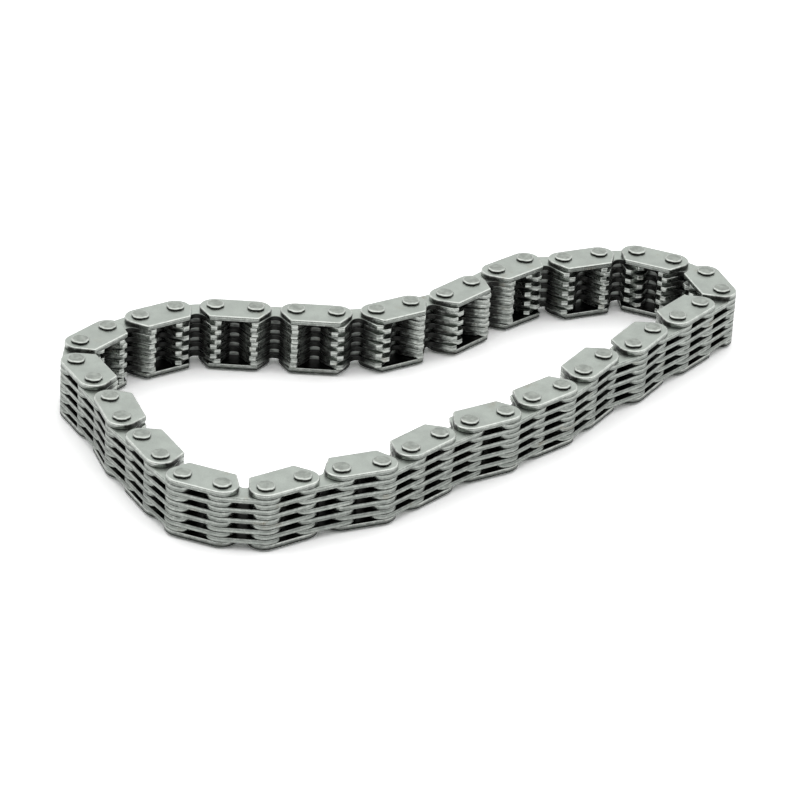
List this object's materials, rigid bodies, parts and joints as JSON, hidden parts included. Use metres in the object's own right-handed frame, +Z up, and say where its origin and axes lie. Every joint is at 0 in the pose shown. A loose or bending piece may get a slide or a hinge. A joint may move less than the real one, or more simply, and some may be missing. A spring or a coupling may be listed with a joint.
{
  "type": "timing chain",
  "caption": "Endless silent timing chain of laced toothed plates between guide plates, pinned at every joint, lying on its side.",
  "frame": {"origin": "middle of the loop's box, on the surface that the lower pin heads rest on", "axes": "+X along the loop's longest extent, +Y across the loop, +Z up along the pins"},
  "size_m": [0.1578, 0.134, 0.0151],
  "materials": {
    "plate_steel": "satin tumbled steel",
    "pin_steel": "satin ground steel"
  },
  "bodies": {
    "guide_link_01": {"joining_guide_plate_lower": "plate_steel", "joining_guide_plate_upper": "plate_steel", "joining_toothed_plate_1": "plate_steel", "joining_toothed_plate_2": "plate_steel", "joining_toothed_plate_3": "plate_steel", "joining_toothed_plate_4": "plate_steel", "joining_pin_start": "pin_steel", "joining_pin_end": "pin_steel"},
    "inner_link_01": {"first_inner_plate_1": "plate_steel", "first_inner_plate_2": "plate_steel", "first_inner_plate_3": "plate_steel", "first_inner_plate_4": "plate_steel", "first_inner_plate_5": "plate_steel"},
    "guide_link_02": {"guide_link_02": "plate_steel"},
    "inner_link_02": {"inner_link_02": "plate_steel"},
    "guide_link_03": {"guide_link_03": "plate_steel"},
    "inner_link_03": {"inner_link_03": "plate_steel"},
    "guide_link_04": {"guide_link_04": "plate_steel"},
    "inner_link_04": {"inner_link_04": "plate_steel"},
    "guide_link_05": {"guide_link_05": "plate_steel"},
    "inner_link_05": {"inner_link_05": "plate_steel"},
    "guide_link_06": {"guide_link_06": "plate_steel"},
    "inner_link_06": {"inner_link_06": "plate_steel"},
    "guide_link_07": {"guide_link_07": "plate_steel"},
    "inner_link_07": {"inner_link_07": "plate_steel"},
    "guide_link_08": {"guide_link_08": "plate_steel"},
    "inner_link_08": {"inner_link_08": "plate_steel"},
    "guide_link_09": {"guide_link_09": "plate_steel"},
    "inner_link_09": {"inner_link_09": "plate_steel"},
    "guide_link_10": {"guide_link_10": "plate_steel"},
    "inner_link_10": {"inner_link_10": "plate_steel"},
    "guide_link_11": {"guide_link_11": "plate_steel"},
    "inner_link_11": {"inner_link_11": "plate_steel"},
    "guide_link_12": {"guide_link_12": "plate_steel"},
    "inner_link_12": {"inner_link_12": "plate_steel"},
    "guide_link_13": {"guide_link_13": "plate_steel"},
    "inner_link_13": {"inner_link_13": "plate_steel"},
    "guide_link_14": {"guide_link_14": "plate_steel"},
    "inner_link_14": {"inner_link_14": "plate_steel"},
    "guide_link_15": {"guide_link_15": "plate_steel"},
    "inner_link_15": {"inner_link_15": "plate_steel"},
    "guide_link_16": {"guide_link_16": "plate_steel"},
    "inner_link_16": {"inner_link_16": "plate_steel"},
    "guide_link_17": {"guide_link_17": "plate_steel"},
    "inner_link_17": {"inner_link_17": "plate_steel"},
    "guide_link_18": {"guide_link_18": "plate_steel"},
    "inner_link_18": {"inner_link_18": "plate_steel"},
    "guide_link_19": {"guide_link_19": "plate_steel"},
    "inner_link_19": {"inner_link_19": "plate_steel"},
    "guide_link_20": {"guide_link_20": "plate_steel"},
    "inner_link_20": {"inner_link_20": "plate_steel"},
    "guide_link_21": {"guide_link_21": "plate_steel"},
    "inner_link_21": {"inner_link_21": "plate_steel"},
    "guide_link_22": {"guide_link_22": "plate_steel"},
    "inner_link_22": {"last_inner_plate_1": "plate_steel", "last_inner_plate_2": "plate_steel", "last_inner_plate_3": "plate_steel", "last_inner_plate_4": "plate_steel", "last_inner_plate_5": "plate_steel"}
  },
  "joints": [
    {"name": "pivot_01", "type": "hinge", "parent": "guide_link_01", "child": "inner_link_01", "pos_m": [-0.07026, -0.01812, 0.00756], "axis": [0, 0, 1], "range_deg": [-7, 11]},
    {"name": "pivot_02", "type": "hinge", "parent": "inner_link_01", "child": "guide_link_02", "pos_m": [-0.06579, -0.02653, 0.00756], "axis": [0, 0, 1], "range_deg": [-18, 4]},
    {"name": "pivot_03", "type": "hinge", "parent": "guide_link_02", "child": "inner_link_02", "pos_m": [-0.06237, -0.03543, 0.00756], "axis": [0, 0, 1], "range_deg": [-37, 48]},
    {"name": "pivot_04", "type": "hinge", "parent": "inner_link_02", "child": "guide_link_03", "pos_m": [-0.05719, -0.04341, 0.00756], "axis": [0, 0, 1], "range_deg": [-22, 15]},
    {"name": "pivot_05", "type": "hinge", "parent": "guide_link_03", "child": "inner_link_03", "pos_m": [-0.05242, -0.05166, 0.00756], "axis": [0, 0, 1], "range_deg": [-30, 55]},
    {"name": "pivot_06", "type": "hinge", "parent": "inner_link_03", "child": "guide_link_04", "pos_m": [-0.04696, -0.05947, 0.00756], "axis": [0, 0, 1], "range_deg": [-26, 26]},
    {"name": "pivot_07", "type": "hinge", "parent": "guide_link_04", "child": "inner_link_04", "pos_m": [-0.03807, -0.06288, 0.00756], "axis": [0, 0, 1], "range_deg": [-44.38, 40.62]},
    {"name": "pivot_08", "type": "hinge", "parent": "inner_link_04", "child": "guide_link_05", "pos_m": [-0.02855, -0.06315, 0.00756], "axis": [0, 0, 1], "range_deg": [-47, 20]},
    {"name": "pivot_09", "type": "hinge", "parent": "guide_link_05", "child": "inner_link_05", "pos_m": [-0.02074, -0.05769, 0.00756], "axis": [0, 0, 1], "range_deg": [-20, 65]},
    {"name": "pivot_10", "type": "hinge", "parent": "inner_link_05", "child": "guide_link_06", "pos_m": [-0.0125, -0.05292, 0.00756], "axis": [0, 0, 1], "range_deg": [-19, 11]},
    {"name": "pivot_11", "type": "hinge", "parent": "guide_link_06", "child": "inner_link_06", "pos_m": [-0.00379, -0.04905, 0.00756], "axis": [0, 0, 1], "range_deg": [-50, 35]},
    {"name": "pivot_12", "type": "hinge", "parent": "inner_link_06", "child": "guide_link_07", "pos_m": [0.00246, -0.04186, 0.00756], "axis": [0, 0, 1], "range_deg": [-23, 9]},
    {"name": "pivot_13", "type": "hinge", "parent": "guide_link_07", "child": "inner_link_07", "pos_m": [0.0087, -0.03467, 0.00756], "axis": [0, 0, 1], "range_deg": [-22, 63]},
    {"name": "pivot_14", "type": "hinge", "parent": "inner_link_07", "child": "guide_link_08", "pos_m": [0.01532, -0.02782, 0.00756], "axis": [0, 0, 1], "range_deg": [-12, 6]},
    {"name": "pivot_15", "type": "hinge", "parent": "guide_link_08", "child": "inner_link_08", "pos_m": [0.02331, -0.02263, 0.00756], "axis": [0, 0, 1], "range_deg": [-43, 42]},
    {"name": "pivot_16", "type": "hinge", "parent": "inner_link_08", "child": "guide_link_09", "pos_m": [0.0293, -0.01523, 0.00756], "axis": [0, 0, 1], "range_deg": [-18, 26]},
    {"name": "pivot_17", "type": "hinge", "parent": "guide_link_09", "child": "inner_link_09", "pos_m": [0.03616, -0.00861, 0.00756], "axis": [0, 0, 1], "range_deg": [-39, 46]},
    {"name": "pivot_18", "type": "hinge", "parent": "inner_link_09", "child": "guide_link_10", "pos_m": [0.0412, -0.00054, 0.00756], "axis": [0, 0, 1], "range_deg": [-27, 58]},
    {"name": "pivot_19", "type": "hinge", "parent": "guide_link_10", "child": "inner_link_10", "pos_m": [0.04597, 0.00771, 0.00756], "axis": [0, 0, 1], "range_deg": [-7, 78]},
    {"name": "pivot_20", "type": "hinge", "parent": "inner_link_10", "child": "guide_link_11", "pos_m": [0.05304, 0.01409, 0.00756], "axis": [0, 0, 1], "range_deg": [-43, 42]},
    {"name": "pivot_21", "type": "hinge", "parent": "guide_link_11", "child": "inner_link_11", "pos_m": [0.05781, 0.02234, 0.00756], "axis": [0, 0, 1], "range_deg": [-15, 70]},
    {"name": "pivot_22", "type": "hinge", "parent": "inner_link_11", "child": "guide_link_12", "pos_m": [0.06393, 0.02963, 0.00756], "axis": [0, 0, 1], "range_deg": [-24, 26]},
    {"name": "pivot_44", "type": "hinge", "parent": "guide_link_01", "child": "inner_link_22", "pos_m": [-0.07502, -0.00988, 0.00756], "axis": [0, 0, 1], "range_deg": [-30, 55]},
    {"name": "pivot_43", "type": "hinge", "parent": "inner_link_22", "child": "guide_link_22", "pos_m": [-0.07502, -0.00035, 0.00756], "axis": [0, 0, 1], "range_deg": [-24, 61]},
    {"name": "pivot_42", "type": "hinge", "parent": "guide_link_22", "child": "inner_link_21", "pos_m": [-0.06942, 0.00736, 0.00756], "axis": [0, 0, 1], "range_deg": [-48, 37]},
    {"name": "pivot_41", "type": "hinge", "parent": "inner_link_21", "child": "guide_link_21", "pos_m": [-0.06234, 0.01373, 0.00756], "axis": [0, 0, 1], "range_deg": [-53, 32]},
    {"name": "pivot_40", "type": "hinge", "parent": "guide_link_21", "child": "inner_link_20", "pos_m": [-0.05454, 0.01919, 0.00756], "axis": [0, 0, 1], "range_deg": [-38, 47]},
    {"name": "pivot_39", "type": "hinge", "parent": "inner_link_20", "child": "guide_link_20", "pos_m": [-0.04526, 0.02134, 0.00756], "axis": [0, 0, 1], "range_deg": [-47, 38]},
    {"name": "pivot_38", "type": "hinge", "parent": "guide_link_20", "child": "inner_link_19", "pos_m": [-0.03574, 0.02134, 0.00756], "axis": [0, 0, 1], "range_deg": [-61, 24]},
    {"name": "pivot_37", "type": "hinge", "parent": "inner_link_19", "child": "guide_link_19", "pos_m": [-0.02621, 0.0215, 0.00756], "axis": [0, 0, 1], "range_deg": [-59, 26]},
    {"name": "pivot_36", "type": "hinge", "parent": "guide_link_19", "child": "inner_link_18", "pos_m": [-0.01669, 0.0215, 0.00756], "axis": [0, 0, 1], "range_deg": [-74, 11]},
    {"name": "pivot_35", "type": "hinge", "parent": "inner_link_18", "child": "guide_link_18", "pos_m": [-0.00745, 0.02381, 0.00756], "axis": [0, 0, 1], "range_deg": [-79, 6]},
    {"name": "pivot_34", "type": "hinge", "parent": "guide_link_18", "child": "inner_link_17", "pos_m": [0.00054, 0.02899, 0.00756], "axis": [0, 0, 1], "range_deg": [-60, 25]},
    {"name": "pivot_33", "type": "hinge", "parent": "inner_link_17", "child": "guide_link_17", "pos_m": [0.00853, 0.03418, 0.00756], "axis": [0, 0, 1], "range_deg": [-76, 9]},
    {"name": "pivot_32", "type": "hinge", "parent": "guide_link_17", "child": "inner_link_16", "pos_m": [0.01478, 0.04137, 0.00756], "axis": [0, 0, 1], "range_deg": [-62, 23]},
    {"name": "pivot_31", "type": "hinge", "parent": "inner_link_16", "child": "guide_link_16", "pos_m": [0.02077, 0.04877, 0.00756], "axis": [0, 0, 1], "range_deg": [-53, 32]},
    {"name": "pivot_30", "type": "hinge", "parent": "guide_link_16", "child": "inner_link_15", "pos_m": [0.02763, 0.05539, 0.00756], "axis": [0, 0, 1], "range_deg": [-26, 59]},
    {"name": "pivot_29", "type": "hinge", "parent": "inner_link_15", "child": "guide_link_15", "pos_m": [0.03701, 0.05704, 0.00756], "axis": [0, 0, 1], "range_deg": [-74, 11]},
    {"name": "pivot_28", "type": "hinge", "parent": "guide_link_15", "child": "inner_link_14", "pos_m": [0.04571, 0.06092, 0.00756], "axis": [0, 0, 1], "range_deg": [-49, 36]},
    {"name": "pivot_27", "type": "hinge", "parent": "inner_link_14", "child": "guide_link_14", "pos_m": [0.05499, 0.06306, 0.00756], "axis": [0, 0, 1], "range_deg": [-26, 59]},
    {"name": "pivot_26", "type": "hinge", "parent": "guide_link_14", "child": "inner_link_13", "pos_m": [0.06388, 0.05965, 0.00756], "axis": [0, 0, 1], "range_deg": [-44.9, 40.1]},
    {"name": "pivot_25", "type": "hinge", "parent": "inner_link_13", "child": "guide_link_13", "pos_m": [0.07158, 0.05403, 0.00756], "axis": [0, 0, 1], "range_deg": [-27.1, 57.9]},
    {"name": "pivot_24", "type": "hinge", "parent": "guide_link_13", "child": "inner_link_12", "pos_m": [0.07499, 0.04514, 0.00756], "axis": [0, 0, 1], "range_deg": [-4, 81]}
  ],
  "couplings": [
    {"joint": "pivot_03", "follows": "pivot_02", "ratio": -1},
    {"joint": "pivot_05", "follows": "pivot_04", "ratio": -1},
    {"joint": "pivot_07", "follows": "pivot_06", "ratio": -1},
    {"joint": "pivot_09", "follows": "pivot_08", "ratio": -1},
    {"joint": "pivot_11", "follows": "pivot_10", "ratio": -1},
    {"joint": "pivot_13", "follows": "pivot_12", "ratio": -1},
    {"joint": "pivot_15", "follows": "pivot_14", "ratio": -1},
    {"joint": "pivot_17", "follows": "pivot_16", "ratio": -1},
    {"joint": "pivot_18", "follows": "pivot_01", "ratio": -1},
    {"joint": "pivot_19", "follows": "pivot_01", "ratio": 1},
    {"joint": "pivot_20", "follows": "pivot_04", "ratio": 1},
    {"joint": "pivot_21", "follows": "pivot_04", "ratio": -1},
    {"joint": "pivot_44", "follows": "pivot_01", "ratio": 1},
    {"joint": "pivot_43", "follows": "pivot_22", "ratio": 1},
    {"joint": "pivot_42", "follows": "pivot_22", "ratio": -1},
    {"joint": "pivot_41", "follows": "pivot_08", "ratio": 1},
    {"joint": "pivot_40", "follows": "pivot_08", "ratio": -1},
    {"joint": "pivot_39", "follows": "pivot_04", "ratio": 1},
    {"joint": "pivot_38", "follows": "pivot_04", "ratio": -1},
    {"joint": "pivot_37", "follows": "pivot_01", "ratio": -1},
    {"joint": "pivot_36", "follows": "pivot_01", "ratio": 1},
    {"joint": "pivot_35", "follows": "pivot_14", "ratio": 1},
    {"joint": "pivot_34", "follows": "pivot_14", "ratio": -1},
    {"joint": "pivot_33", "follows": "pivot_12", "ratio": 1},
    {"joint": "pivot_32", "follows": "pivot_12", "ratio": -1},
    {"joint": "pivot_31", "follows": "pivot_16", "ratio": 1},
    {"joint": "pivot_30", "follows": "pivot_16", "ratio": -1},
    {"joint": "pivot_29", "follows": "pivot_10", "ratio": 1},
    {"joint": "pivot_28", "follows": "pivot_10", "ratio": -1},
    {"joint": "pivot_27", "follows": "pivot_06", "ratio": 1},
    {"joint": "pivot_26", "follows": "pivot_06", "ratio": -1},
    {"joint": "pivot_25", "follows": "pivot_02", "ratio": 1},
    {"joint": "pivot_24", "follows": "pivot_02", "ratio": -1}
  ]
}
